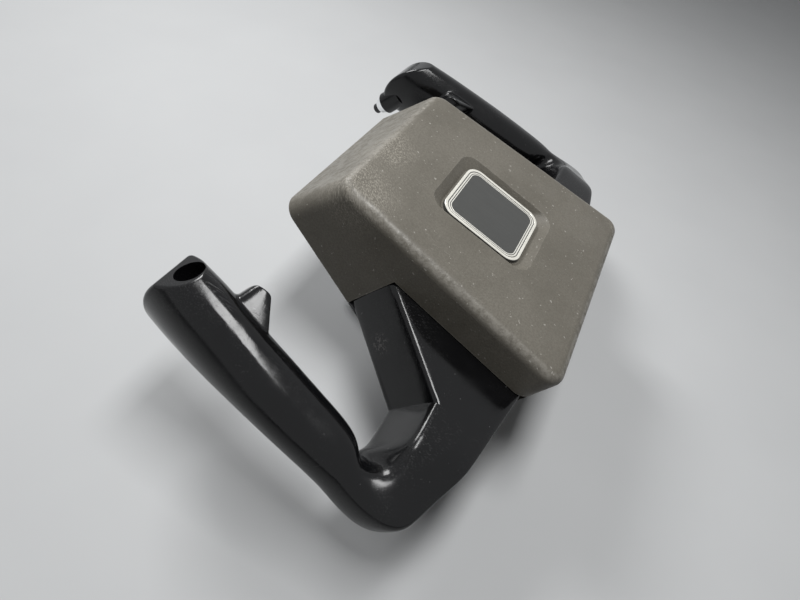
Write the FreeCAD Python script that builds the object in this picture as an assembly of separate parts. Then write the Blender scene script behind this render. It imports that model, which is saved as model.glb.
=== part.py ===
import FreeCAD, Part
import math
import os

from FreeCAD import Placement, Rotation, Vector

# An aircraft control wheel: two ram-horn hand grips on a cast hub, behind a moulded pad cover.
# Lengths are in millimetres and angles in degrees.
# The part's frame has +X to the pilot's right, +Y forward along the shaft and +Z up, with its
# origin at the centre of the shaft socket's mouth.
# The pad face leans forward at its top. The face frame has y square to the pad face, z up along
# it, and its origin where the shaft axis meets it. Horns and hub are drawn in the face frame.

# Pad cover
face_tilt = 20.0
face_top = 58.0
face_bottom = 66.0
cover_half_width_top = 50.2
cover_half_width_bottom = 65.2
cover_side_draft = 3.0
cover_top_draft = 9.5
cover_bottom_draft = 9.0
cover_corner_radius = 9.0
cover_bottom_corner_radius = 8.0
cover_face_radius = 5.5
cover_wall = 2.8
face_to_rim = 55.5
shell_gap = 0.3

# Badge plate and its recess
badge_half_width = 20.3
badge_half_height = 21.8
badge_centre = -1.2
badge_corner_radius = 7.0
badge_thickness = 1.2
adhesive_thickness = 0.5
recess_depth = 3.6
recess_floor_margin = 0.8
recess_flare_side = 2.4
recess_flare_end = 5.2

# Shaft socket and hub casting
socket_length = 43.5
socket_outer_radius = 18.0
socket_bore_radius = 12.75
socket_bore_depth = 62.0
cross_bolt_radius = 2.45
cross_bolt_from_mouth = 14.0
wire_bore_radius = 5.0
hub_front = 26.0
hub_thickness = 11.0
tongue_reach = 104.0
seat_gap = 0.3

# Horns, in the face frame
horn_front = 20.4
horn_depth = 28.5
root_gap = 1.5
root_step = 0.8
gusset_top_x = 58.2
gusset_top_z = 15.6
gusset_foot_x = 93.0
arm_top_z = -26.0
arm_root_bottom_z = -59.2
arm_end_bottom_z = -50.6
arm_edge_radius = 2.8
elbow_x = 112.0
elbow_z = -14.0
elbow_squareness = 12.0
elbow_knuckle = 4.6
elbow_steps = (0.2, 0.33, 0.42, 0.55, 0.75)
elbow_lead = 12.0
elbow_sweep = 8.5
elbow_ridge = 3.2
grip_axis_y = 40.0
grip_foot_x = 127.6
grip_foot_radius = 11.6
grip_head_x = 113.4
grip_head_radius = 15.4
grip_head_z = 61.0
grip_bow = 1.2
head_rear_y = 66.0
head_swell_start = 0.42
head_narrowing = 0.3
head_end_radius = 11.5
cap_radius = 30.0
cap_fillet = 2.0
left_cap = (47.0, 58.6)
right_cap = (52.0, 66.0)

# Left grip's switch hole
hole_radius = 6.25
hole_x = 109.3
hole_y = 29.6
hole_z = 79.5
hole_tilt = 40.0
hole_depth = 24.0
hole_face_fillet = 1.5
wire_channel_radius = 3.2
wire_channel_wall = 2.8

# Thumb lug on the inner side of each grip
lug_root_top_z = 58.5
lug_tip_top_z = 56.0
lug_root_height = 24.0
lug_tip_height = 8.0
lug_tip_x = 97.5
lug_front_y = 24.5
lug_depth = 12.5
lug_tip_radius = 2.2
lug_sink = 4.5
lug_fillet = 1.8

# Hub plate whose ends are the horns' tongues
web_half_width = 20.0
web_top_z = 16.0
web_bottom_z = -34.0
tongue_start_x = 29.0
tongue_bend_x = 56.0
tongue_top_z = 1.0
tongue_bottom_z = -46.0
tongue_tip_x = 92.0
tongue_tip_top_z = -33.0
tongue_tip_bottom_z = -44.5
tongue_fit = 0.15

# Horn bolts, washers and nuts
bolt_x = 40.5
bolt_heights = (-9.0, -31.0)
bolt_radius = 3.0
bolt_hole_radius = 3.3
bolt_head_height = 4.0
nut_height = 5.0
hex_across_flats = 10.0
washer_radius = 6.0
washer_thickness = 1.2
lock_washer_radius = 5.0
lock_washer_thickness = 1.6
bolt_point = 1.5

# Back cover, its screws and posts
plate_thickness = 3.0
window_top = 7.9
window_bottom = -63.9
lip_thickness = 5.0
post_radius = 4.0
post_places = ((36.0, 42.0), (18.0, -49.0))
insert_radius = 2.6
insert_length = 6.0
screw_radius = 1.5
screw_head_radius = 2.9
screw_head_height = 1.9
screw_length = 8.5
thread_gap = 0.05
ear_radius = 6.5
ear_x = 18.5
ear_z = 15.3
ear_screw_radius = 2.0
ear_screw_head_radius = 3.7
ear_screw_head_height = 2.5
ear_screw_length = 13.0
end_room = 1.5
grommet_z = -37.0
grommet_hole_radius = 6.5
grommet_lip = 2.0
grommet_bore_radius = 3.0

# Push switch on the right grip's head, its lengths measured from the seat along its axis
switch_x = 106.0
switch_y = 63.5
switch_z = 91.5
switch_tilt = 25.0
boss_radius = 7.0
boss_depth = 14.0
body_radius = 5.6
body_bore_radius = 4.5
body_depth = 16.5
shoulder_depth = 8.0
shoulder_thickness = 1.0
stem_radius = 1.6
bezel_radius = 6.3
bezel_top_radius = 4.5
bezel_height = 5.5
plunger_radius = 3.25
plunger_reach = 10.0
flange_thickness = 2.0
slide_gap = 0.08
end_play = 0.05
button_travel = 1.8
button_tip_radius = 1.1
contact_radius = 3.6
contact_thickness = 0.6
base_thickness = 3.0
terminal_x = 2.3
terminal_radius = 0.8
terminal_head_radius = 1.3
terminal_length = 10.0
spring_radius = 2.5
spring_wire = 0.5
spring_turns = 4

mouth_y = face_to_rim + socket_length
root_inner_x = tongue_start_x + root_gap
lean = math.tan(math.radians(face_tilt))
cos_tilt = math.cos(math.radians(face_tilt))
sin_tilt = math.sin(math.radians(face_tilt))
far_reach = 200.0
face_frame = Placement(Vector(0, 0, 0), Rotation(Vector(1, 0, 0), -face_tilt))
shaft_dir = Vector(0, 1, lean)


def save(name, shape):
    """Writes one piece, moved so that the socket's mouth is the origin."""
    if not shape.isValid():
        raise ValueError(name + " is not a valid shape")
    piece = shape.copy()
    piece.translate(Vector(0, -mouth_y, 0))
    piece.exportStep("parts/" + name + ".step")


def from_face(shape):
    """Turns a piece drawn in the face frame into the shaft's directions."""
    piece = shape.copy()
    piece.Placement = face_frame.multiply(piece.Placement)
    return piece


def mirrored(shape):
    return shape.mirror(Vector(0, 0, 0), Vector(1, 0, 0))


def rounded_wire(corners, radii):
    """A closed flat outline through the corners, each rounded by its own radius."""
    count = len(corners)
    spans = []
    for i, corner in enumerate(corners):
        to_last = (corners[i - 1] - corner).normalize()
        to_next = (corners[(i + 1) % count] - corner).normalize()
        half = to_last.getAngle(to_next) / 2
        run = radii[i] / math.tan(half)
        middle = (to_last + to_next).normalize()
        centre = corner + middle * (radii[i] / math.sin(half))
        spans.append((corner + to_last * run, centre - middle * radii[i], corner + to_next * run))
    edges = []
    for i, (start, crest, end) in enumerate(spans):
        edges.append(Part.Arc(start, crest, end).toShape())
        edges.append(Part.LineSegment(end, spans[(i + 1) % count][0]).toShape())
    return Part.Wire(edges)


def blend(a, b, t):
    return a + (b - a) * t


def ease(t):
    """Runs from 0 to 1 with no slope at either end."""
    return t * t * (3 - 2 * t)


def side_plane_half_width(y, z):
    """Half the housing's outer width at a distance behind the face centre and a height."""
    top = face_top * cos_tilt
    bottom = -face_bottom * cos_tilt
    share = (z - bottom) / (top - bottom)
    at_face = blend(cover_half_width_bottom, cover_half_width_top, share)
    return at_face + y * math.tan(math.radians(cover_side_draft))


def top_plane_height(y):
    """The housing's top above the shaft axis, rising towards the rear from the face's top edge."""
    return face_top * cos_tilt + (y - face_top * sin_tilt) * math.tan(math.radians(cover_top_draft))


def bottom_plane_height(y):
    """The housing's bottom below the shaft axis, falling towards the rear from the face's bottom edge."""
    fall = math.tan(math.radians(cover_bottom_draft))
    return -face_bottom * cos_tilt - (y + face_bottom * sin_tilt) * fall


def housing(inset, back):
    """The housing's solid, each of its surfaces moved in by inset."""
    front = -1.2 * face_bottom * sin_tilt
    upper = max(cover_corner_radius - inset, 1.0)
    lower = max(cover_bottom_corner_radius - inset, 1.0)
    sections = []
    for y in (front, back):
        top = top_plane_height(y) - inset
        bottom = bottom_plane_height(y) + inset
        high = side_plane_half_width(y, top) - inset
        low = side_plane_half_width(y, bottom) - inset
        outline = [(-high, top), (high, top), (low, bottom), (-low, bottom)]
        corners = [Vector(x, y, z) for x, z in outline]
        sections.append(rounded_wire(corners, [upper, upper, lower, lower]))
    block = Part.makeLoft(sections, True, True)
    block = block.cut(from_face(everything_ahead(inset)))
    return rounded_front(block, inset)


def rounded_front(block, inset):
    """Rounds the edges round the sloping front face."""
    normal = face_frame.Rotation.multVec(Vector(0, 1, 0))
    rim = []
    for edge in block.Edges:
        ends = [v.Point.dot(normal) for v in edge.Vertexes]
        if all(abs(e - inset) < 1e-4 for e in ends):
            rim.append(edge)
    return block.makeFillet(cover_face_radius - inset * 0.8, rim)


def face_point(x, z, y=horn_front):
    """A point of the horn's front outline carried back along the shaft to depth y."""
    return Vector(x, y, z + (y - horn_front) * lean)


def along_shaft(corners, radii, y_from, y_to):
    """A solid with the given outline in the face frame, drawn from depth to depth along the shaft."""
    outline = rounded_wire([face_point(x, z, y_from) for x, z in corners], radii)
    return Part.Face(outline).extrude(shaft_dir * (y_to - y_from))


def everything_ahead(y):
    """A large block on the pilot's side of the plane at a depth, in the frame it is drawn in."""
    size = 2 * far_reach
    return Part.makeBox(size, size, size, Vector(-far_reach, y - size, -far_reach))


def round_bar(radius, start, direction, length):
    return Part.makeCylinder(radius, length, start, direction)


def control_ring(inner, outer, front, rear, edge, roundness, narrowing=0.0, cut=0.0, sweep=0.0):
    """Twelve control points round one cross-section of the horn, in a plane along the shaft.

    Its shape runs from a box with eased edges (roundness 0) to an ellipse (roundness 1). The
    narrowing draws in its rear, the cut slants its inner side towards the outer at the front, and
    the sweep carries its front back towards the outer side.
    """
    middle = Vector(inner[0] + outer[0], 0, inner[1] + outer[1]) * 0.5
    across = Vector(outer[0] - inner[0], 0, outer[1] - inner[1]) * 0.5
    half_width = across.Length
    half_depth = (rear - front) / 2
    ease_in = 1 - 1.75 * edge / half_width
    ease_deep = 1 - 1.75 * edge / half_depth
    box = [(-1, -1), (-1, -ease_deep), (-1, ease_deep)]
    box += [(-1, 1), (-ease_in, 1), (ease_in, 1)]
    box += [(1, 1), (1, ease_deep), (1, -ease_deep)]
    box += [(1, -1), (ease_in, -1), (-ease_in, -1)]
    full = 1 / 0.955
    ring = []
    for i, (u, v) in enumerate(box):
        angle = math.radians(225 - 30 * i)
        u = blend(u, full * math.cos(angle), roundness)
        v = blend(v, full * math.sin(angle), roundness)
        u *= 1 - narrowing * (v + 1) / 2
        u += (1 - u) * cut * (1 - v) / 2
        side = middle + across * u
        back = sweep * (1 + u) / 2 * (1 - v) / 2
        ring.append(face_point(side.x, side.z, (front + rear) / 2 + half_depth * v + back))
    return ring


def arm_ring(x):
    """The cross-section of the gusset or the arm at a distance from the wheel's middle."""
    slope = (gusset_top_z - arm_top_z) / (gusset_foot_x - gusset_top_x)
    top = max(gusset_top_z - max(x - gusset_top_x, 0) * slope, arm_top_z)
    share = (x - gusset_top_x) / (elbow_x - gusset_top_x)
    bottom = blend(arm_root_bottom_z, arm_end_bottom_z, share)
    return control_ring((x, top), (x, bottom), horn_front, horn_front + horn_depth, arm_edge_radius, 0)


def elbow_rings():
    """The turn from the arm to the grip, fanned round a point inside the elbow."""
    rings = []
    inner_start = elbow_z - arm_top_z
    outer_start = elbow_z - arm_end_bottom_z
    grip_inner = grip_foot_x - grip_foot_radius - elbow_x
    grip_outer = grip_foot_x + grip_foot_radius - elbow_x
    arm_rise = (arm_end_bottom_z - arm_root_bottom_z) / (elbow_x - gusset_top_x)
    for share in elbow_steps:
        angle = math.radians(-90 + 90 * share)
        inner = blend(inner_start, grip_inner, share)
        along = abs(math.cos(angle)) / grip_outer
        down = abs(math.sin(angle)) / outer_start
        outer = (along ** elbow_squareness + down ** elbow_squareness) ** (-1 / elbow_squareness)
        outer += elbow_knuckle * math.sin(math.pi * share) ** 8
        soft = ease(share)
        cut = elbow_ridge * share ** 2 * (1 - share)
        sweep = elbow_sweep * math.sin(math.pi * share)
        front = blend(horn_front, grip_axis_y - grip_foot_radius, soft)
        rear = blend(horn_front + horn_depth, grip_axis_y + grip_foot_radius, soft)
        way = Vector(math.cos(angle), 0, math.sin(angle))
        near = (elbow_x + way.x * inner, elbow_z + way.z * inner)
        far = (elbow_x + way.x * outer, elbow_z + (way.z + way.x * arm_rise) * outer)
        rings.append(control_ring(near, far, front, rear, arm_edge_radius, soft, 0, cut, sweep))
    return rings


def grip_rings():
    """The hand grip, round at its foot and swollen to the rear at its head."""
    rings = []
    for share in (0.0, 0.25, 0.5, 0.7, 0.9, 1.1, 1.45):
        z = blend(elbow_z, grip_head_z, share)
        bow = grip_bow * math.sin(math.pi * min(share, 1.0))
        x = blend(grip_foot_x, grip_head_x, share) + bow
        radius = blend(grip_foot_radius, grip_head_radius, min(share, 1.0))
        half = head_end_radius if share > 1.2 else radius
        swell = ease(min(max((share - head_swell_start) / (1 - head_swell_start), 0.0), 1.0))
        rear = blend(grip_axis_y + radius, head_rear_y, swell)
        narrow = head_narrowing * swell
        sides = ((x - half, z), (x + half, z))
        rings.append(control_ring(*sides, grip_axis_y - radius, rear, arm_edge_radius, 1, narrow))
    return rings


def skin(rings, degree):
    """One smooth face shaped by control rings, running straight or curved from ring to ring."""
    along = len(rings)
    around = len(rings[0])
    surface = Part.BSplineSurface()
    knots_along = list(range(along - degree + 1))
    mults_along = [degree + 1] + [1] * (along - degree - 1) + [degree + 1]
    knots_around = list(range(around + 1))
    mults_around = [1] * (around + 1)
    surface.buildFromPolesMultsKnots(
        rings, mults_along, mults_around, knots_along, knots_around, False, True, degree, 3
    )
    return surface.toShape()


def end_cap(face, ring):
    """The flat face that closes a skin at one of its end rings."""
    middle = sum(ring, Vector()) / len(ring)
    rims = [e for e in face.Edges if e.isClosed()]
    rims.sort(key=lambda e: e.CenterOfMass.distanceToPoint(middle))
    return Part.Face(Part.Wire([rims[0]]))


def horn_body():
    """The right horn's outer form: straight gusset and arm, then the curved elbow and grip."""
    root = arm_ring(gusset_top_x - lip_thickness + shell_gap)
    shoulder = arm_ring(gusset_top_x)
    foot = arm_ring(gusset_foot_x)
    arm_end = arm_ring(elbow_x - elbow_lead)
    leads = [arm_ring(elbow_x - elbow_lead / 2), arm_ring(elbow_x)]
    bend = [arm_end] + leads + elbow_rings() + grip_rings()
    faces = [skin([root, shoulder], 1), skin([shoulder, foot], 1), skin([foot, arm_end], 1)]
    faces.append(skin(bend, 3))
    faces.append(end_cap(faces[0], root))
    faces.append(end_cap(faces[3], bend[-1]))
    shell = Part.makeShell(faces)
    shell.sewShape()
    return Part.Solid(shell)


def root_block():
    """The part of a horn that lies inside the cover and clasps the hub's tongue."""
    front = horn_front + root_step
    rear = horn_front + horn_depth - root_step
    top = gusset_top_z - 2 * root_step - 6
    bottom = arm_root_bottom_z + 6
    corners = [(root_inner_x, top), (gusset_top_x, top), (gusset_top_x, bottom), (root_inner_x, bottom)]
    return along_shaft(corners, [3.0] * 4, front, rear)


def thumb_lug():
    """The lug below the thumb on the grip's inner side, its tip rounded."""
    rings = []
    rear = lug_front_y + lug_depth
    for share in (0.0, 0.35, 0.7, 0.9, 1.0, 1.0):
        x = blend(grip_head_x, lug_tip_x, share)
        top = blend(lug_root_top_z, lug_tip_top_z, share)
        foot = top - blend(lug_root_height, lug_tip_height, share)
        inset = lug_tip_radius if len(rings) == 5 else 0.0
        high = (x, top - inset)
        low = (x, foot + inset)
        edge = lug_tip_radius - 0.6 * inset
        front = lug_front_y + lug_sink * (1 - share)
        rings.append(control_ring(high, low, front + inset, rear - inset, edge, 0.3))
    face = skin(rings, 3)
    shell = Part.makeShell([face, end_cap(face, rings[0]), end_cap(face, rings[-1])])
    shell.sewShape()
    return Part.Solid(shell)


def rounded_joint(whole, first, second, radius):
    """Rounds the edges in which the surfaces of two shapes meet."""
    skins = [Part.Compound(shape.Faces) for shape in (first, second)]
    joint = []
    for edge in whole.Edges:
        points = [Part.Vertex(point) for point in edge.discretize(5)]
        if all(skin.distToShape(p)[0] < 0.02 for skin in skins for p in points):
            joint.append(edge)
    return whole.makeFillet(radius, joint)


def horn_blank(cap_centre):
    """A right-handed horn with a domed end, before its holes are made, in the face frame."""
    body = horn_body()
    cap_length = 80.0
    start = Vector(grip_head_x - cap_length / 2, cap_centre[0], cap_centre[1])
    cap = round_bar(cap_radius, start, Vector(1, 0, 0), cap_length)
    low = Vector(0, -far_reach, cap_centre[1] - far_reach)
    keep = Part.makeBox(far_reach, 2 * far_reach, far_reach, low)
    capped = rounded_joint(body.common(keep.fuse(cap)), body, cap, cap_fillet)
    lug = thumb_lug()
    return rounded_joint(capped.fuse(lug), capped, lug, lug_fillet).fuse(root_block())


def plate_corners(gap):
    """The right half of the hub plate's outline, grown by a gap, from top to bottom."""
    return [
        (web_half_width, web_top_z + gap),
        (tongue_start_x, tongue_top_z + gap),
        (tongue_bend_x + gap, tongue_top_z + gap),
        (tongue_tip_x + gap, tongue_tip_top_z + gap),
        (tongue_reach + gap, tongue_tip_top_z + gap),
        (tongue_reach + gap, tongue_tip_bottom_z - gap),
        (tongue_bend_x, tongue_bottom_z - gap),
        (tongue_start_x, tongue_bottom_z - gap),
        (web_half_width, web_bottom_z - gap),
    ]


def tongue_pocket():
    """The hollow in the right horn that takes the hub's tongue, open towards the hub."""
    inner = root_inner_x - 5
    corners = [(inner, tongue_top_z + seat_gap)] + plate_corners(seat_gap)[2:7]
    corners.append((inner, tongue_bottom_z - seat_gap))
    front = hub_front - tongue_fit
    return along_shaft(corners, [0.5] * len(corners), front, hub_front + hub_thickness + tongue_fit)


def bolt_axis_point(height):
    """Where a right-hand horn bolt crosses the plane of the root's front face."""
    return Vector(bolt_x, horn_front + root_step, height)


def bolt_holes(radius):
    back = Vector(0, 1, 0)
    bars = [round_bar(radius, bolt_axis_point(h) - back * 20, back, 70) for h in bolt_heights]
    return bars[0].fuse(bars[1:])


def wire_channel(head_end):
    """Straight bores that lead the switch wires from the cover to the grip's head."""
    depth = horn_front + horn_depth - wire_channel_radius - wire_channel_wall
    low = elbow_z - 15
    bends = [Vector(root_inner_x - 5, depth, low), Vector(elbow_x + 9, depth, low)]
    bends.append(Vector(grip_foot_x, grip_axis_y, elbow_z + 8))
    bends.append(Vector(grip_head_x, grip_axis_y + 2, grip_head_z - 6))
    bends.append(head_end)
    bores = []
    for start, end in zip(bends, bends[1:]):
        bores.append(round_bar(wire_channel_radius, start, end - start, (end - start).Length))
        bores.append(Part.makeSphere(wire_channel_radius, end))
    return bores[0].fuse(bores[1:-1])


def plate_clearance():
    """The room that the back cover's plate needs behind the right horn's root, in the face frame."""
    plate_front = face_to_rim - plate_thickness - shell_gap
    reach = gusset_top_x + cover_wall
    box = Part.makeBox(2 * reach, far_reach, 2 * far_reach, Vector(-reach, plate_front, -far_reach))
    box.Placement = face_frame.inverse().multiply(box.Placement)
    return box


def drilled_horn(cap_centre):
    """A right-handed horn with its pocket, bolt holes and the room for the back cover."""
    return horn_blank(cap_centre).cut([tongue_pocket(), bolt_holes(bolt_hole_radius), plate_clearance()])


def left_horn():
    """The left horn, with an open switch hole in the sloping end of its grip."""
    centre = Vector(hole_x, hole_y, hole_z)
    tilt = math.radians(hole_tilt)
    outward = Vector(0, -math.cos(tilt), math.sin(tilt))
    spot = round_bar(40, centre, outward, 60)
    hole = round_bar(hole_radius, centre + outward, outward * -1, hole_depth + 1)
    horn = drilled_horn(left_cap)
    horn = rounded_joint(horn.cut(spot), horn, spot, hole_face_fillet)
    return mirrored(horn.cut([hole, wire_channel(centre - outward * hole_depth * 0.8)]))


def switch_point(distance):
    """A point on the push switch's axis, at a distance outwards from its seat."""
    return Vector(switch_x, switch_y, switch_z) + switch_way() * distance


def switch_way():
    tilt = math.radians(switch_tilt)
    return Vector(0, math.cos(tilt), math.sin(tilt))


def switch_bar(radius, start, end):
    """A round bar on the push switch's axis."""
    return round_bar(radius, switch_point(start), switch_way(), end - start)


def right_horn():
    """The right horn, with a seat and a cavity for the push switch in its head."""
    horn = drilled_horn(right_cap).fuse(switch_bar(boss_radius, -boss_depth, 0))
    seat = switch_bar(2 * boss_radius, 0, 20)
    cavity = switch_bar(body_radius + shell_gap, -body_depth - terminal_length, 1)
    cuts = [seat, cavity, wire_channel(switch_point(-body_depth - terminal_length + 2))]
    return horn.cut(cuts)


def hub_casting():
    """The shaft socket and the plate whose tongues carry the horns, in the shaft's directions."""
    right = plate_corners(0)
    corners = right + [(-x, z) for x, z in reversed(right)]
    radii = [2.0] * len(corners)
    plate = from_face(along_shaft(corners, radii, hub_front, hub_front + hub_thickness))
    forward = Vector(0, 1, 0)
    tube = round_bar(socket_outer_radius, Vector(0, 0, 0), forward, mouth_y)
    ear_end = face_to_rim - plate_thickness
    ears = [round_bar(ear_radius, Vector(x, 0, ear_z), forward, ear_end) for x in (-ear_x, ear_x)]
    in_front = everything_ahead(hub_front)
    posts = tube.fuse(ears).cut(from_face(in_front))
    tapped = []
    for x in (-ear_x, ear_x):
        start = Vector(x, face_to_rim - ear_screw_length - end_room, ear_z)
        tapped.append(round_bar(ear_screw_radius + thread_gap, start, forward, far_reach))
    bore_floor = Vector(0, mouth_y - socket_bore_depth, 0)
    bore = round_bar(socket_bore_radius, bore_floor, forward, socket_bore_depth)
    wire_bore = round_bar(wire_bore_radius, Vector(0, 0, 0), forward, mouth_y)
    below = Vector(0, mouth_y - cross_bolt_from_mouth, -far_reach)
    cross = round_bar(cross_bolt_radius, below, Vector(0, 0, 1), 2 * far_reach)
    holes = from_face(bolt_holes(bolt_hole_radius))
    hub = plate.fuse(posts)
    hub = hub.makeChamfer(1.0, mouth_edges(hub))
    return hub.cut([bore, wire_bore, cross, holes, mirrored(holes)] + tapped)


def mouth_edges(shape):
    """The round edges in the plane of the socket's mouth."""
    return [e for e in shape.Edges if e.BoundBox.YMin > mouth_y - 0.01]


def post_axes():
    """Where the four cover posts stand, looking along the shaft."""
    return [(side * x, z) for x, z in post_places for side in (-1, 1)]


def window(gap, front, back):
    """The right side window's room, in the shaft's directions, its edges moved out by gap."""
    height = window_top - window_bottom + 2 * gap
    start = Vector(gusset_top_x - lip_thickness, -far_reach, window_bottom - gap)
    room = Part.makeBox(far_reach, 2 * far_reach, height, start)
    behind = everything_ahead(back + 2 * far_reach)
    return room.cut([from_face(everything_ahead(front)), from_face(behind)])


def recess_outline(flare_side, flare_end, depth):
    half_width = badge_half_width + recess_floor_margin + flare_side
    half_height = badge_half_height + recess_floor_margin + flare_end
    top = badge_centre + half_height
    bottom = badge_centre - half_height
    corners = [(-half_width, top), (half_width, top), (half_width, bottom), (-half_width, bottom)]
    radius = badge_corner_radius + recess_floor_margin
    return rounded_wire([Vector(x, depth, z) for x, z in corners], [radius] * 4)


def badge_recess():
    """The sloping-walled hollow in the pad face that holds the badge plate."""
    over = 1.5
    outer = recess_outline(recess_flare_side * over, recess_flare_end * over, recess_depth * (1 - over))
    return from_face(Part.makeLoft([outer, recess_outline(0, 0, recess_depth)], True, True))


def recess_backing():
    """The wall behind the badge recess."""
    outer = recess_outline(recess_flare_side + cover_wall, recess_flare_end + cover_wall, cover_wall / 2)
    inner = recess_outline(cover_wall, cover_wall, recess_depth + cover_wall)
    return from_face(Part.makeLoft([outer, inner], True, True))


def pad_cover():
    """The moulded pad cover: a shell open at the rear, with a badge recess and two side windows."""
    shell = housing(0, face_to_rim).cut(housing(cover_wall, face_to_rim + 1))
    forward = Vector(0, 1, 0)
    ends = face_to_rim - plate_thickness
    posts = [round_bar(post_radius, Vector(x, -60, z), forward, 60 + ends) for x, z in post_axes()]
    room = housing(cover_wall / 2, face_to_rim)
    shell = shell.fuse([post.common(room) for post in posts] + [recess_backing()])
    window_front = horn_front - shell_gap
    opening = window(0, window_front, 150)
    cuts = [opening, mirrored(opening), badge_recess()]
    bore = insert_radius + thread_gap
    for x, z in post_axes():
        cuts.append(round_bar(bore, Vector(x, ends - insert_length, z), forward, 20))
        cuts.append(round_bar(screw_radius + shell_gap, Vector(x, ends - screw_length, z), forward, 20))
    return shell.cut(cuts)


def back_cover():
    """The plate that closes the pad cover, with a lip behind each horn."""
    front = face_to_rim - plate_thickness
    plate = housing(cover_wall + shell_gap, face_to_rim)
    plate = plate.cut(everything_ahead(front))
    behind_horn = horn_front + horn_depth + shell_gap
    rim = housing(0, face_to_rim).cut(housing(lip_thickness, face_to_rim + 1))
    lip = rim.common(window(-shell_gap, behind_horn, 150))
    plate = plate.fuse([lip, mirrored(lip)])
    forward = Vector(0, 1, 0)
    cuts = [round_bar(socket_outer_radius + shell_gap, Vector(0, 0, 0), forward, 100)]
    cuts.append(round_bar(grommet_hole_radius, Vector(0, 0, grommet_z), forward, 100))
    for x, z in post_axes():
        cuts.append(round_bar(screw_radius + shell_gap, Vector(x, 0, z), forward, 100))
    for x in (-ear_x, ear_x):
        cuts.append(round_bar(ear_screw_radius + shell_gap, Vector(x, 0, ear_z), forward, 100))
    return plate.cut(cuts)


def badge_block(front, thickness):
    half_width = badge_half_width
    top = badge_centre + badge_half_height
    bottom = badge_centre - badge_half_height
    corners = [(-half_width, top), (half_width, top), (half_width, bottom), (-half_width, bottom)]
    outline = rounded_wire([Vector(x, front, z) for x, z in corners], [badge_corner_radius] * 4)
    return from_face(Part.Face(outline).extrude(Vector(0, thickness, 0)))


def hex_bar(across_flats, start, direction, length):
    """A hexagonal bar standing on a point, with its flats square to the face's width."""
    radius = across_flats / math.sqrt(3)
    turn = Rotation(Vector(0, 0, 1), direction)
    points = []
    for i in range(7):
        angle = math.radians(60 * i)
        points.append(start + turn.multVec(Vector(radius * math.cos(angle), radius * math.sin(angle), 0)))
    return Part.Face(Part.makePolygon(points)).extrude(direction * length)


def ring_bar(outer, inner, start, direction, length):
    return round_bar(outer, start, direction, length).cut(round_bar(inner, start, direction, length))


def each_bolt(make):
    """The same fastener at all four horn bolts."""
    right = [make(bolt_axis_point(h)) for h in bolt_heights]
    return from_face(Part.makeCompound(right + [mirrored(piece) for piece in right]))


def horn_bolt(seat):
    back = Vector(0, 1, 0)
    under_head = seat - back * washer_thickness
    root_depth = horn_depth - 2 * root_step
    grip = washer_thickness + root_depth + lock_washer_thickness + nut_height + bolt_point
    head = hex_bar(hex_across_flats, under_head - back * bolt_head_height, back, bolt_head_height)
    dome = back * (hex_across_flats * 0.83 - bolt_head_height)
    crown = Part.makeSphere(hex_across_flats, under_head + dome)
    shank = round_bar(bolt_radius, under_head, back, grip)
    shank = shank.makeChamfer(0.6, [e for e in shank.Edges if e.BoundBox.YMin > seat.y + root_depth])
    return head.common(crown).fuse(shank)


def horn_washer(seat):
    start = seat - Vector(0, washer_thickness, 0)
    return ring_bar(washer_radius, bolt_hole_radius, start, Vector(0, 1, 0), washer_thickness)


def horn_lock_washer(seat):
    """A split spring washer under the nut."""
    start = seat + Vector(0, horn_depth - 2 * root_step, 0)
    ring = ring_bar(lock_washer_radius, bolt_hole_radius, start, Vector(0, 1, 0), lock_washer_thickness)
    slit = Part.makeBox(0.8, 10, 10, start + Vector(-0.4, -1, 0))
    return ring.cut(slit)


def horn_nut(seat):
    start = seat + Vector(0, horn_depth - 2 * root_step + lock_washer_thickness, 0)
    body = hex_bar(hex_across_flats, start, Vector(0, 1, 0), nut_height)
    return body.cut(round_bar(bolt_radius + thread_gap, start, Vector(0, 1, 0), nut_height))


def pan_screw(start, radius, head_radius, head_height, length):
    """A pan-head cross-recess screw entering forward of its seat, which is at the start point."""
    forward = Vector(0, 1, 0)
    head = round_bar(head_radius, start, forward, head_height)
    crown = [e for e in head.Edges if e.BoundBox.YMin > start.y + head_height - 0.01]
    head = head.makeChamfer(head_height * 0.4, crown)
    shank = round_bar(radius, start - forward * length, forward, length)
    slot = head_radius * 0.6
    deep = start + forward * (head_height * 0.45)
    bar_a = Part.makeBox(2 * slot, 5, 0.5 * radius, deep - Vector(slot, 0, 0.25 * radius))
    bar_b = Part.makeBox(0.5 * radius, 5, 2 * slot, deep - Vector(0.25 * radius, 0, slot))
    return head.fuse(shank).cut([bar_a, bar_b])


def back_cover_screws():
    screws = []
    for x, z in post_axes():
        seat = Vector(x, face_to_rim, z)
        screws.append(pan_screw(seat, screw_radius, screw_head_radius, screw_head_height, screw_length))
    return Part.makeCompound(screws)


def hub_screws():
    screws = []
    for x in (-ear_x, ear_x):
        seat = Vector(x, face_to_rim, ear_z)
        head = (ear_screw_head_radius, ear_screw_head_height)
        screws.append(pan_screw(seat, ear_screw_radius, *head, ear_screw_length))
    return Part.makeCompound(screws)


def cover_inserts():
    end = face_to_rim - plate_thickness
    inserts = []
    for x, z in post_axes():
        start = Vector(x, end - insert_length, z)
        bore = screw_radius + thread_gap
        inserts.append(ring_bar(insert_radius, bore, start, Vector(0, 1, 0), insert_length))
    return Part.makeCompound(inserts)


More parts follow.
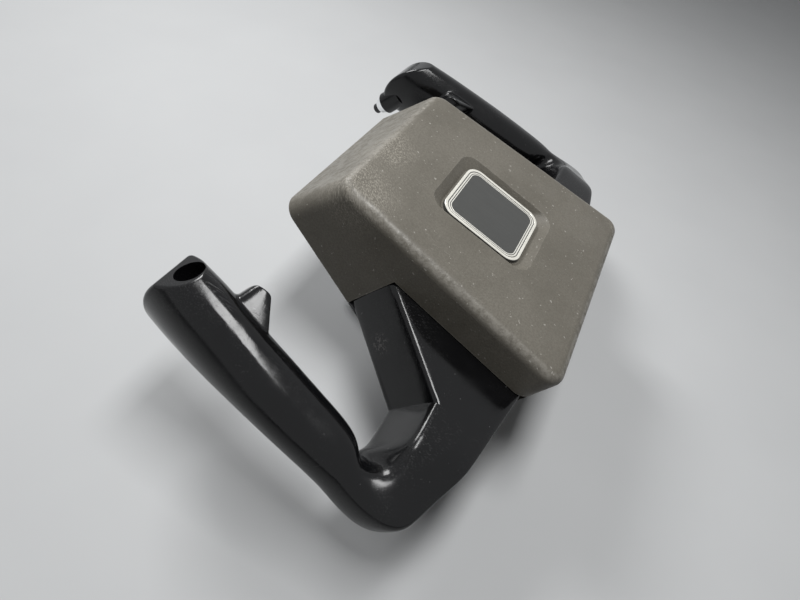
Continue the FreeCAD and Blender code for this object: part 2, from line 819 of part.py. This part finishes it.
def wire_grommet():
    """A rubber ring whose groove grips the edge of the back cover's wire hole."""
    neck = grommet_hole_radius - thread_gap
    lip = neck + grommet_lip
    front = face_to_rim - plate_thickness
    profile = [
        (grommet_bore_radius, front - grommet_lip),
        (lip, front - grommet_lip),
        (lip, front - thread_gap),
        (neck, front - thread_gap),
        (neck, face_to_rim + thread_gap),
        (lip, face_to_rim + thread_gap),
        (lip - 0.8, face_to_rim + grommet_lip),
        (grommet_bore_radius, face_to_rim + grommet_lip),
    ]
    points = [Vector(r, y, grommet_z) for r, y in profile]
    outline = Part.Face(Part.makePolygon(points + [points[0]]))
    return outline.revolve(Vector(0, 0, grommet_z), Vector(0, 1, 0), 360)


def switch_body():
    """The push switch's barrel, with a shoulder that the spring stands on."""
    barrel = switch_bar(body_radius, -body_depth, 0)
    upper = switch_bar(body_bore_radius, -shoulder_depth, 1)
    stem_hole = switch_bar(stem_radius + slide_gap, -body_depth, 1)
    lower = switch_bar(body_bore_radius, -body_depth - 1, -shoulder_depth - shoulder_thickness)
    return barrel.cut([upper, stem_hole, lower])


def terminal_places():
    """Points beside the switch axis where the terminals stand, at the base's inner face."""
    inner = switch_point(-body_depth + base_thickness)
    return [inner + Vector(side * terminal_x, 0, 0) for side in (-1, 1)]


def switch_base():
    plug = switch_bar(body_bore_radius - thread_gap, -body_depth, -body_depth + base_thickness)
    way = switch_way()
    holes = [round_bar(terminal_radius + thread_gap, p - way * 10, way, 20) for p in terminal_places()]
    return plug.cut(holes)


def switch_terminals():
    """Two riveted contact pins that leave the base as solder tails."""
    way = switch_way()
    rest = -shoulder_depth - shoulder_thickness - end_play - contact_thickness
    closed = rest - button_travel - end_play
    head_height = closed - (-body_depth + base_thickness)
    pins = []
    for place in terminal_places():
        head = round_bar(terminal_head_radius, place, way, head_height)
        tail = round_bar(terminal_radius, place - way * terminal_length, way, terminal_length)
        pins.append(head.fuse(tail))
    return Part.makeCompound(pins)


def switch_bezel():
    """The bright conical nut round the push button."""
    cone = Part.makeCone(bezel_radius, bezel_top_radius, bezel_height, switch_point(0), switch_way())
    top = [e for e in cone.Edges if e.BoundBox.ZMin > switch_point(bezel_height).z - bezel_top_radius]
    top = [e for e in top if e.isClosed() and abs(e.Curve.Radius - bezel_top_radius) < 0.01]
    cone = cone.makeFillet(0.5, top)
    return cone.cut(switch_bar(plunger_radius + slide_gap, -1, bezel_height + 1))


def switch_plunger():
    """The push button with its flange and the stem that carries the moving contact."""
    button = switch_bar(plunger_radius, -end_play - flange_thickness, plunger_reach)
    end = switch_point(plunger_reach)
    rims = [e for e in button.Edges if e.isClosed()]
    tip = [e for e in rims if e.CenterOfMass.distanceToPoint(end) < 0.01]
    button = button.makeFillet(button_tip_radius, tip)
    flange = switch_bar(body_bore_radius - slide_gap, -end_play - flange_thickness, -end_play)
    stem = switch_bar(stem_radius, contact_start(), -end_play - flange_thickness)
    return button.fuse([flange, stem])


def contact_start():
    """Distance along the switch axis to the moving contact's outer face."""
    return -shoulder_depth - shoulder_thickness - end_play


def switch_contact():
    return switch_bar(contact_radius, contact_start() - contact_thickness, contact_start())


def switch_spring():
    """The return spring, of flat wire, between the shoulder and the button's flange."""
    low = -shoulder_depth + spring_wire / 2
    high = -end_play - flange_thickness - spring_wire / 2
    height = high - low
    path = Part.makeHelix(height / spring_turns, height, spring_radius)
    half = spring_wire / 2
    inner = spring_radius - half
    outer = spring_radius + half
    outline = [(inner, -half), (outer, -half), (outer, half), (inner, half), (inner, -half)]
    section = Part.makePolygon([Vector(r, 0, z) for r, z in outline])
    coil = Part.Wire(path.Edges).makePipeShell([section], True, True)
    coil.Placement = Placement(switch_point(low), Rotation(Vector(0, 0, 1), switch_way()))
    return coil


def build():
    """Every piece of the wheel by name, in the shaft's directions."""
    plate_front = recess_depth - adhesive_thickness - badge_thickness
    return {
        "pad_cover": pad_cover(),
        "badge_plate": badge_block(plate_front, badge_thickness),
        "badge_adhesive": badge_block(plate_front + badge_thickness, adhesive_thickness),
        "hub_casting": hub_casting(),
        "left_horn": from_face(left_horn()),
        "right_horn": from_face(right_horn()),
        "horn_bolts": each_bolt(horn_bolt),
        "horn_bolt_washers": each_bolt(horn_washer),
        "horn_lock_washers": each_bolt(horn_lock_washer),
        "horn_bolt_nuts": each_bolt(horn_nut),
        "back_cover": back_cover(),
        "back_cover_screws": back_cover_screws(),
        "hub_screws": hub_screws(),
        "cover_inserts": cover_inserts(),
        "wire_grommet": wire_grommet(),
        "switch_body": from_face(switch_body()),
        "switch_base": from_face(switch_base()),
        "switch_bezel": from_face(switch_bezel()),
        "switch_plunger": from_face(switch_plunger()),
        "switch_contact": from_face(switch_contact()),
        "switch_spring": from_face(switch_spring()),
        "switch_terminals": from_face(switch_terminals()),
    }


def write_parts():
    os.makedirs("parts", exist_ok=True)
    for name, shape in build().items():
        save(name, shape)


write_parts()
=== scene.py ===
import math

import bmesh
import bpy
from mathutils import Matrix, Vector


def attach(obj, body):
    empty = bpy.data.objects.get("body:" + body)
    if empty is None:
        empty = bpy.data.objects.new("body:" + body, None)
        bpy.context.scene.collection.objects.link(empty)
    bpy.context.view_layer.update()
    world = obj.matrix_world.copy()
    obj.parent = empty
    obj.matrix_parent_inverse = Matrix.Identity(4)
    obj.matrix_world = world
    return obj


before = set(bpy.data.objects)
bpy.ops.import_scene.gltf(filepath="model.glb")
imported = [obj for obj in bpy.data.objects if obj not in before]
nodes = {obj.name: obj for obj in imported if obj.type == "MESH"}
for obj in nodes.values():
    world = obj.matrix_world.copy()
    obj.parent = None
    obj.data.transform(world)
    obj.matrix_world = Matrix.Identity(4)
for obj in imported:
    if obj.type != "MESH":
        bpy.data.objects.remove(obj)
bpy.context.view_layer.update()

# Face-frame points are in millimetres, with x to the pilot's right, y into the pad's face and z up along
# it. The face leans back from the shaft's upright by the tilt.
FACE_TILT = math.radians(20)
FACE_TO_SOCKET_MOUTH = 99.0


def face_point(x, y, z):
    """A face-frame point, in the row frame, in metres."""
    along = y * math.cos(FACE_TILT) + z * math.sin(FACE_TILT) - FACE_TO_SOCKET_MOUTH
    up = z * math.cos(FACE_TILT) - y * math.sin(FACE_TILT)
    return Vector((x, along, up)) / 1000


# Material nodes


class Nodes:
    """A material's node tree, built by short calls."""

    def __init__(self, name):
        self.material = bpy.data.materials.new(name)
        self.material.use_nodes = True
        self.tree = self.material.node_tree
        self.tree.nodes.clear()
        self.output = self.add("ShaderNodeOutputMaterial")
        self.shader = self.add("ShaderNodeBsdfPrincipled")
        self.link(self.shader.outputs[0], self.output.inputs[0])
        self.place = self.add("ShaderNodeTexCoord").outputs["Object"]

    def add(self, kind):
        return self.tree.nodes.new(kind)

    def link(self, value, socket):
        """Joins an output to a socket, or sets the socket to a plain value."""
        if isinstance(value, bpy.types.NodeSocket):
            self.tree.links.new(value, socket)
        else:
            socket.default_value = value

    def constants(self, **values):
        """Sets the shader's own sockets."""
        for name, value in values.items():
            self.shader.inputs[name.replace("_", " ")].default_value = value

    def stretched(self, scale, turn=(0, 0, 0)):
        """The object's coordinates, turned and then scaled apart along each axis."""
        turned = self.add("ShaderNodeMapping")
        turned.inputs["Rotation"].default_value = turn
        self.link(self.place, turned.inputs["Vector"])
        scaled = self.add("ShaderNodeMapping")
        scaled.inputs["Scale"].default_value = scale
        self.link(turned.outputs[0], scaled.inputs["Vector"])
        return scaled.outputs[0]

    def noise(self, size_mm, detail=3.0, rough=0.55, place=None):
        node = self.add("ShaderNodeTexNoise")
        node.inputs["Scale"].default_value = 1000 / size_mm
        node.inputs["Detail"].default_value = detail
        node.inputs["Roughness"].default_value = rough
        self.link(place or self.place, node.inputs["Vector"])
        return node.outputs[0]

    def cells(self, size_mm):
        """The distance to the middle of the nearest of many small cells."""
        node = self.add("ShaderNodeTexVoronoi")
        node.inputs["Scale"].default_value = 1000 / size_mm
        self.link(self.place, node.inputs["Vector"])
        return node.outputs["Distance"]

    def math(self, operation, first, second):
        node = self.add("ShaderNodeMath")
        node.operation = operation
        self.link(first, node.inputs[0])
        self.link(second, node.inputs[1])
        return node.outputs[0]

    def measure(self, operation, first, second):
        """The one number that two vectors make, such as their dot product or distance."""
        node = self.add("ShaderNodeVectorMath")
        node.operation = operation
        self.link(first, node.inputs[0])
        self.link(second, node.inputs[1])
        return node.outputs["Value"]

    def span(self, value, low, high, to_low=0.0, to_high=1.0):
        """Maps low to high onto a new range, smoothly, and holds the ends."""
        node = self.add("ShaderNodeMapRange")
        node.interpolation_type = "SMOOTHSTEP"
        ends = {"From Min": low, "From Max": high, "To Min": to_low, "To Max": to_high}
        for name, number in ends.items():
            node.inputs[name].default_value = number
        self.link(value, node.inputs["Value"])
        return node.outputs[0]

    def mix(self, factor, first, second):
        """The first colour at factor 0, the second at factor 1."""
        node = self.add("ShaderNodeMix")
        node.data_type = "RGBA"
        self.link(factor, node.inputs[0])
        for value, socket in ((first, node.inputs[6]), (second, node.inputs[7])):
            self.link(value if isinstance(value, bpy.types.NodeSocket) else (*value, 1), socket)
        return node.outputs[2]

    def edges(self, radius_mm, flat=0.999, turned=0.93):
        """1 where the surface turns within the radius, 0 on the open faces.

        Flat and turned are cosines of the angle between the softened and the true normal.
        """
        soft = self.add("ShaderNodeBevel")
        soft.samples = 6
        soft.inputs["Radius"].default_value = radius_mm / 1000
        sharp = self.add("ShaderNodeNewGeometry")
        agreement = self.measure("DOT_PRODUCT", soft.outputs[0], sharp.outputs["Normal"])
        return self.span(agreement, flat, turned)

    def facing(self, direction):
        """1 where the surface faces the direction, 0 where it stands square to it."""
        normal = self.add("ShaderNodeNewGeometry").outputs["Normal"]
        return self.measure("DOT_PRODUCT", normal, direction)

    def spot(self, centre, radius_mm, core=0.25):
        """1 at a place on the surface and over its core, fading to 0 at the radius."""
        away = self.measure("DISTANCE", self.place, centre)
        return self.span(away, radius_mm / 1000, radius_mm * core / 1000)

    def bump(self, height, depth_mm, strength=1.0, normal=None):
        node = self.add("ShaderNodeBump")
        node.inputs["Strength"].default_value = strength
        node.inputs["Distance"].default_value = depth_mm / 1000
        self.link(height, node.inputs["Height"])
        if normal:
            self.link(normal, node.inputs["Normal"])
        return node.outputs[0]

    def surface(self, colour, roughness, normal=None):
        self.link(colour, self.shader.inputs["Base Color"])
        self.link(roughness, self.shader.inputs["Roughness"])
        if normal:
            self.link(normal, self.shader.inputs["Normal"])
        return self.material


def scratches(n, width_mm, length_mm, turn, keep):
    """Thin lines along one direction, broken up by a slower noise."""
    place = n.stretched((1.0, 1.0, width_mm / length_mm), turn)
    lines = n.noise(width_mm, 1.0, 0.4, place)
    patches = n.noise(length_mm, 2.0, 0.5)
    return n.math("MULTIPLY", n.span(lines, keep, keep + 0.03), n.span(patches, 0.46, 0.62))


# Pad plastic

# Where hands have rubbed the pad pale: a point on its face and a radius, in millimetres.
PAD_RUBS = (
    ((-46, 0, 53), 26),
    ((-12, 0, 58), 22),
    ((62, 2, -66), 16),
)
# The recess round the badge stays free of the rim's wear and painted sheen out to this radius.
RECESS_CENTRE = (0, 0, -1)
RECESS_REACH = 44


def pad_wear_and_sheen(n):
    """1 where the sharp edges are worn, and on the rim, which is partly worn and partly a painted sheen.
    """
    turn = n.facing((0, -math.cos(FACE_TILT), math.sin(FACE_TILT)))
    # The rim band is partly wear and partly painted sheen: pale paint on the rounds between the face and
    # its sides, where light catches them.
    rim = n.math("MULTIPLY", n.span(turn, 0.985, 0.90), n.span(turn, 0.30, 0.62))
    rim = n.math("MULTIPLY", rim, n.span(n.noise(3.5, 5.0, 0.7), 0.36, 0.60))
    outside = n.math("SUBTRACT", 1.0, n.spot(face_point(*RECESS_CENTRE), RECESS_REACH, 0.8))
    rim = n.math("MULTIPLY", rim, outside)
    sharp = n.math("MULTIPLY", n.edges(1.0), n.span(n.noise(5, 4.0, 0.7), 0.35, 0.62))
    return n.math("MAXIMUM", rim, sharp)


def pad_rubs(n):
    """Streaked pale spots."""
    rubbed = 0.0
    for place, radius in PAD_RUBS:
        rubbed = n.math("MAXIMUM", rubbed, n.spot(face_point(*place), radius))
    along = n.stretched((0.12, 1.0, 1.0), (0.1, 0.9, 0.3))
    return n.math("MULTIPLY", rubbed, n.span(n.noise(0.5, 3.0, 0.65, along), 0.42, 0.68))


def pad_plastic():
    """Taupe plastic with a leather grain, flecked and scuffed, worn pale at its sharp edges, and pale at
    its rim from wear and a painted sheen.
    """
    taupe_dark = (0.134, 0.123, 0.100)
    taupe_light = (0.172, 0.159, 0.132)
    pore = (0.088, 0.079, 0.063)
    fleck = (0.50, 0.48, 0.44)
    scuff = (0.42, 0.40, 0.36)
    rub = (0.46, 0.43, 0.37)
    # The pale colour of the rim and the sharp edges: edge wear, and on the rim also a painted sheen.
    wear = (0.38, 0.36, 0.32)
    n = Nodes("pad_plastic")
    n.constants(Specular_IOR_Level=0.42)
    colour = n.mix(n.span(n.noise(34, 3.0, 0.6), 0.3, 0.7), taupe_dark, taupe_light)
    colour = n.mix(n.span(n.noise(0.9, 4.0, 0.7), 0.38, 0.62, 0.0, 0.4), colour, pore)
    flecks = n.span(n.noise(1.7, 1.0, 0.5), 0.735, 0.76)
    colour = n.mix(n.math("MULTIPLY", flecks, 0.55), colour, fleck)
    scuffs = scratches(n, 0.35, 22, (0.5, 0.2, 0.9), 0.68)
    colour = n.mix(n.math("MULTIPLY", scuffs, 0.28), colour, scuff)
    colour = n.mix(n.math("MULTIPLY", pad_rubs(n), 0.60), colour, rub)
    # This pale mix is edge wear, and on the rim also painted sheen.
    worn = pad_wear_and_sheen(n)
    colour = n.mix(n.math("MULTIPLY", worn, 0.42), colour, wear)
    rough = n.span(n.noise(6, 4.0, 0.6), 0.3, 0.7, 0.44, 0.60)
    rough = n.math("SUBTRACT", rough, n.math("MULTIPLY", worn, 0.14))
    leather = n.bump(n.cells(0.8), 0.07, 0.7)
    return n.surface(colour, rough, n.bump(n.noise(2.2, 3.0, 0.6), 0.06, 0.4, leather))


# Horn plastic

# A scuffed place on the left gusset's front, in metres, and its radius in millimetres.
HORN_SCUFF = (-0.0735, -0.0605, -0.0105)
HORN_SCUFF_RADIUS = 7


def horn_plastic():
    """Glossy black plastic with fine scratches, nicks and one scuffed place."""
    black_dark = (0.0022, 0.0023, 0.0028)
    black_light = (0.0040, 0.0040, 0.0046)
    scratch = (0.28, 0.28, 0.28)
    wear = (0.16, 0.16, 0.165)
    nick = (0.30, 0.30, 0.30)
    dust = (0.20, 0.19, 0.19)
    n = Nodes("horn_plastic")
    n.constants(IOR=1.46, Specular_IOR_Level=0.42)
    colour = n.mix(n.noise(25, 2.0), black_dark, black_light)
    fine = scratches(n, 0.16, 26, (0.25, 0.15, 0.3), 0.66)
    cross = scratches(n, 0.22, 12, (1.3, 0.4, 0.9), 0.70)
    marks = n.math("MAXIMUM", fine, cross)
    colour = n.mix(n.math("MULTIPLY", marks, 0.10), colour, scratch)
    worn = n.math("MULTIPLY", n.edges(0.8), n.span(n.noise(3, 4.0, 0.7), 0.42, 0.66))
    colour = n.mix(n.math("MULTIPLY", worn, 0.18), colour, wear)
    nicks = n.span(n.noise(2.4, 2.0, 0.6), 0.745, 0.77)
    colour = n.mix(n.math("MULTIPLY", nicks, 0.30), colour, nick)
    dusty = n.span(n.noise(2.0, 4.0, 0.7), 0.50, 0.58)
    scuff = n.math("MULTIPLY", n.spot(HORN_SCUFF, HORN_SCUFF_RADIUS), dusty)
    colour = n.mix(n.math("MULTIPLY", scuff, 0.45), colour, dust)
    handled = n.span(n.noise(14, 5.0, 0.65), 0.35, 0.7, 0.10, 0.24)
    rough = n.math("ADD", handled, n.math("MULTIPLY", marks, 0.18))
    rough = n.math("ADD", rough, n.math("MULTIPLY", scuff, 0.25))
    hairs = n.noise(0.45, 2.0, 0.6, n.stretched((0.06, 1.0, 1.0), (0.1, 0.35, 0.2)))
    swirl = n.bump(n.noise(9, 2.0, 0.5), 0.05, 0.4)
    combed = n.bump(hairs, 0.016, 0.6, swirl)
    grooves = n.bump(marks, 0.02, 0.5, combed)
    return n.surface(colour, rough, n.bump(n.noise(0.7, 3.0, 0.6), 0.004, 0.4, grooves))


# Badge, metals and dull materials


def badge_field():
    """The badge's dark brushed field, a little paler on its edges."""
    n = Nodes("badge_field")
    brushed = n.noise(0.3, 3.0, 0.6, n.stretched((1.0, 0.02, 0.02)))
    colour = n.mix(brushed, (0.046, 0.047, 0.045), (0.076, 0.077, 0.073))
    colour = n.mix(n.math("MULTIPLY", n.edges(0.3), 0.5), colour, (0.30, 0.30, 0.29))
    rough = n.span(n.noise(4, 4.0, 0.6), 0.3, 0.7, 0.30, 0.44)
    return n.surface(colour, rough, n.bump(brushed, 0.01, 0.4))


def metal(name, light, dark, grain_mm, rough, metallic=1.0, depth_mm=0.02):
    """Bare or plated metal: a cloudy tone, fine grain, polished edges."""
    n = Nodes(name)
    n.constants(Metallic=metallic)
    tone = n.noise(grain_mm * 12, 4.0, 0.65)
    grain = n.noise(grain_mm, 3.0, 0.6)
    colour = n.mix(n.span(tone, 0.3, 0.7), dark, light)
    colour = n.mix(n.span(grain, 0.35, 0.7, 0.0, 0.35), colour, dark)
    colour = n.mix(n.math("MULTIPLY", n.edges(0.4), 0.5), colour, (0.85, 0.85, 0.83))
    return n.surface(colour, n.span(grain, 0.3, 0.7, *rough), n.bump(grain, depth_mm, 0.5))


def dull(name, light, dark, grain_mm, rough, depth_mm=0.04):
    """Moulded plastic, rubber or foam: a cloudy tone, grain, greyer edges."""
    n = Nodes(name)
    tone = n.noise(grain_mm * 18, 4.0, 0.6)
    grain = n.noise(grain_mm, 4.0, 0.65)
    worn = n.math("MULTIPLY", n.edges(0.6), n.span(grain, 0.35, 0.65, 0.1, 0.5))
    colour = n.mix(n.span(tone, 0.3, 0.7), dark, light)
    colour = n.mix(worn, colour, (0.16, 0.16, 0.16))
    return n.surface(colour, n.span(grain, 0.3, 0.7, *rough), n.bump(grain, depth_mm, 0.5))


# Light and dark colour, grain in millimetres, smooth and rough roughness.
METALS = {
    "badge_silver": ((0.92, 0.90, 0.82), (0.80, 0.78, 0.70), 0.4, (0.24, 0.38)),
    "hub_casting": ((0.58, 0.59, 0.60), (0.40, 0.41, 0.42), 0.8, (0.38, 0.60)),
    "zinc_steel": ((0.66, 0.66, 0.63), (0.48, 0.48, 0.46), 0.35, (0.24, 0.42)),
    "insert_brass": ((0.74, 0.57, 0.27), (0.58, 0.42, 0.18), 0.3, (0.22, 0.38)),
    "bezel_chrome": ((0.90, 0.91, 0.92), (0.78, 0.79, 0.80), 0.5, (0.08, 0.18)),
    "spring_steel": ((0.62, 0.62, 0.61), (0.45, 0.45, 0.44), 0.2, (0.22, 0.36)),
}
METAL_EXTRAS = {
    "badge_silver": {"metallic": 0.25},
    "hub_casting": {"depth_mm": 0.12},
    "bezel_chrome": {"depth_mm": 0.005},
}
DULLS = {
    "foam_tape": ((0.060, 0.060, 0.058), (0.035, 0.035, 0.034), 0.3, (0.8, 0.95)),
    "back_plastic": ((0.036, 0.036, 0.038), (0.022, 0.022, 0.024), 0.6, (0.45, 0.62)),
    "grommet_rubber": ((0.026, 0.026, 0.026), (0.016, 0.016, 0.016), 0.4, (0.6, 0.8)),
    "button_plastic": ((0.022, 0.022, 0.023), (0.013, 0.013, 0.014), 0.35, (0.28, 0.40)),
}
DULL_EXTRAS = {"button_plastic": {"depth_mm": 0.015}}

materials = {"pad_plastic": pad_plastic(), "horn_plastic": horn_plastic(), "badge_field": badge_field()}
for name, values in METALS.items():
    materials[name] = metal(name, *values, **METAL_EXTRAS.get(name, {}))
for name, values in DULLS.items():
    materials[name] = dull(name, *values, **DULL_EXTRAS.get(name, {}))

FINISHES = {
    "pad_plastic": ("pad_cover",),
    "badge_field": ("badge_plate",),
    "foam_tape": ("badge_adhesive",),
    "hub_casting": ("hub_casting",),
    "horn_plastic": ("left_horn", "right_horn"),
    "zinc_steel": (
        "horn_bolts",
        "horn_bolt_washers",
        "horn_lock_washers",
        "horn_bolt_nuts",
        "back_cover_screws",
        "hub_screws",
    ),
    "back_plastic": ("back_cover",),
    "grommet_rubber": ("wire_grommet",),
    "button_plastic": ("switch_body", "switch_base", "switch_plunger"),
    "bezel_chrome": ("switch_bezel",),
    "insert_brass": ("cover_inserts", "switch_contact", "switch_terminals"),
    "spring_steel": ("switch_spring",),
}

for finish, finished in FINISHES.items():
    for node in finished:
        for slot in nodes[node].material_slots:
            slot.material = materials[finish]


# Badge frame

# The badge plate's outline and front in the face frame, and the bands' own sizes, in millimetres.
BADGE_CENTRE_Z = -1.2
BADGE_FRONT_Y = 1.9
BADGE_HALF_WIDTH = 20.3
BADGE_HALF_HEIGHT = 21.8
BADGE_CORNER = 7.0
CORNER_STEPS = 10
CORNER_TIGHTENING = 0.8
BAND_SINK = 0.15
BAND_SHOULDER = 0.14
SHOULDER_HEIGHT = 0.55
SHARP_ANGLE = math.radians(35)


def badge_outline(inset):
    """Points of the badge's rounded outline, drawn in by an inset."""
    radius = BADGE_CORNER - inset * CORNER_TIGHTENING
    half_width = BADGE_HALF_WIDTH - inset
    half_height = BADGE_HALF_HEIGHT - inset
    points = []
    for corner, (side, end) in enumerate(((1, 1), (-1, 1), (-1, -1), (1, -1))):
        for step in range(CORNER_STEPS + 1):
            angle = math.radians(90 * (corner + step / CORNER_STEPS))
            x = side * (half_width - radius) + radius * math.cos(angle)
            z = end * (half_height - radius) + radius * math.sin(angle)
            points.append((x, z + BADGE_CENTRE_Z))
    return points


def badge_band(name, outer, inner, height):
    """A raised silver band between two insets, with eased shoulders, sunk a little into the plate."""
    shoulder = min(BAND_SHOULDER, (inner - outer) / 3)
    profile = (
        (outer, -BAND_SINK),
        (outer, height * SHOULDER_HEIGHT),
        (outer + shoulder, height),
        (inner - shoulder, height),
        (inner, height * SHOULDER_HEIGHT),
        (inner, -BAND_SINK),
    )
    mesh = bmesh.new()
    rings = []
    for inset, lift in profile:
        points = [face_point(x, BADGE_FRONT_Y - lift, z) for x, z in badge_outline(inset)]
        rings.append([mesh.verts.new(point) for point in points])
    for near, far in zip(rings, rings[1:] + rings[:1]):
        for i, vertex in enumerate(near):
            j = (i + 1) % len(near)
            mesh.faces.new((vertex, near[j], far[j], far[i]))
    bmesh.ops.recalc_face_normals(mesh, faces=mesh.faces)
    add_piece(name, mesh, "badge_silver", "wheel")


def add_object(name, mesh, material):
    data = bpy.data.meshes.new(name)
    mesh.to_mesh(data)
    mesh.free()
    data.materials.append(material)
    added = bpy.data.objects.new(name, data)
    bpy.context.scene.collection.objects.link(added)
    return added


def add_piece(name, mesh, finish, body):
    """A smooth-shaded piece of the part, which rides on a body."""
    piece = add_object(name, mesh, materials[finish])
    piece.data.shade_smooth()
    piece.data.set_sharp_from_angle(angle=SHARP_ANGLE)
    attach(piece, body)


badge_band("badge_border", 0.1, 1.5, 0.28)
badge_band("badge_stripe_outer", 1.95, 2.65, 0.12)
badge_band("badge_stripe_inner", 3.05, 3.5, 0.12)


# Camera

# The photograph's eye point in metres, and the directions of its view.
EYE = Vector((-0.2200, -0.2408, 0.0739))
LOOK = Vector((0.6582, 0.6890, -0.3034))
RIGHT = Vector((0.4402, -0.6792, -0.5873))
UP = Vector((0.6108, -0.2530, 0.7503))
SENSOR_WIDTH = 36
LENS = 25.2
CLIP_START = 0.01

camera = bpy.data.objects.new("camera", bpy.data.cameras.new("camera"))
bpy.context.scene.collection.objects.link(camera)
camera.data.sensor_width = SENSOR_WIDTH
camera.data.lens = LENS
camera.data.clip_start = CLIP_START
camera.matrix_world = Matrix.Translation(EYE) @ Matrix((RIGHT, UP, -LOOK)).transposed().to_4x4()
bpy.context.scene.camera = camera


# Floor, lamps and background

# The wheel lies on its back, so the floor leans forward in the row frame. Its place is in metres.
FLOOR_NORMAL = Vector((0, -0.7969, 0.6041)).normalized()
FLOOR_POINT = Vector((0, -0.0435, -0.0747))
FLOOR_REACH = 3
FLOOR_BOUNCE = (0.12, 0.12, 0.12)

# The lamps stand round this point, each at a direction and a distance from it. Lengths are in metres,
# power in watts.
LAMP_AIM = Vector((0, -0.06, 0))
WORLD_LIGHT = 0.09
BACKGROUND = (0.60, 0.61, 0.62, 1)


def floor_material():
    """Pale and matt from above. It is clear from below and to shadow rays, and bounces little light."""
    n = Nodes("floor")
    n.constants(Specular_IOR_Level=0.2)
    pale = n.mix(n.noise(60, 3.0, 0.5), (0.60, 0.61, 0.616), (0.64, 0.65, 0.655))
    rays = n.add("ShaderNodeLightPath").outputs
    n.surface(n.mix(rays["Is Diffuse Ray"], pale, FLOOR_BOUNCE), 0.75)
    behind = n.add("ShaderNodeNewGeometry").outputs["Backfacing"]
    clear = n.add("ShaderNodeBsdfTransparent")
    blend = n.add("ShaderNodeMixShader")
    n.link(n.math("MAXIMUM", behind, rays["Is Shadow Ray"]), blend.inputs[0])
    n.link(n.shader.outputs[0], blend.inputs[1])
    n.link(clear.outputs[0], blend.inputs[2])
    n.link(blend.outputs[0], n.output.inputs[0])
    return n.material


def make_floor():
    across = Vector((FLOOR_REACH, 0, 0))
    along = FLOOR_NORMAL.cross(across)
    mesh = bmesh.new()
    corners = [FLOOR_POINT + across * a + along * b for a, b in ((-1, -1), (1, -1), (1, 1), (-1, 1))]
    mesh.faces.new([mesh.verts.new(corner) for corner in corners])
    add_object("floor", mesh, floor_material())


def make_lamp(name, direction, distance, size, power):
    lamp = bpy.data.objects.new(name, bpy.data.lights.new(name, "AREA"))
    lamp.data.shape = "RECTANGLE"
    lamp.data.size, lamp.data.size_y = size
    lamp.data.energy = power
    back = Vector(direction).normalized()
    lamp.location = LAMP_AIM + back * distance
    lamp.rotation_mode = "QUATERNION"
    lamp.rotation_quaternion = (-back).to_track_quat("-Z", "Y")
    bpy.context.scene.collection.objects.link(lamp)


def make_world():
    """A dim light from all round, behind a pale background that the camera and reflections see."""
    world = bpy.data.worlds.new("world")
    bpy.context.scene.world = world
    world.use_nodes = True
    tree = world.node_tree
    tree.nodes.clear()
    light = tree.nodes.new("ShaderNodeBackground")
    light.inputs["Color"].default_value = (0.97, 0.98, 1.0, 1)
    light.inputs["Strength"].default_value = WORLD_LIGHT
    background = tree.nodes.new("ShaderNodeBackground")
    background.inputs["Color"].default_value = BACKGROUND
    rays = tree.nodes.new("ShaderNodeLightPath").outputs
    seen = rays["Is Camera Ray"]
    for ray in ("Is Transmission Ray", "Is Glossy Ray"):
        either = tree.nodes.new("ShaderNodeMath")
        either.operation = "MAXIMUM"
        tree.links.new(seen, either.inputs[0])
        tree.links.new(rays[ray], either.inputs[1])
        seen = either.outputs[0]
    blend = tree.nodes.new("ShaderNodeMixShader")
    tree.links.new(seen, blend.inputs[0])
    tree.links.new(light.outputs[0], blend.inputs[1])
    tree.links.new(background.outputs[0], blend.inputs[2])
    output = tree.nodes.new("ShaderNodeOutputWorld")
    tree.links.new(blend.outputs[0], output.inputs[0])


make_floor()
make_lamp("front", (-0.05, -0.83, 0.55), 0.62, (0.36, 0.16), 3.0)
make_lamp("key", (0.35, -0.143, 0.925), 0.80, (0.26, 0.26), 3.2)
make_lamp("back_fill", (0.30, 0.90, 0.25), 0.90, (0.6, 0.6), 1.8)
make_world()

bpy.context.scene.view_settings.view_transform = "Standard"
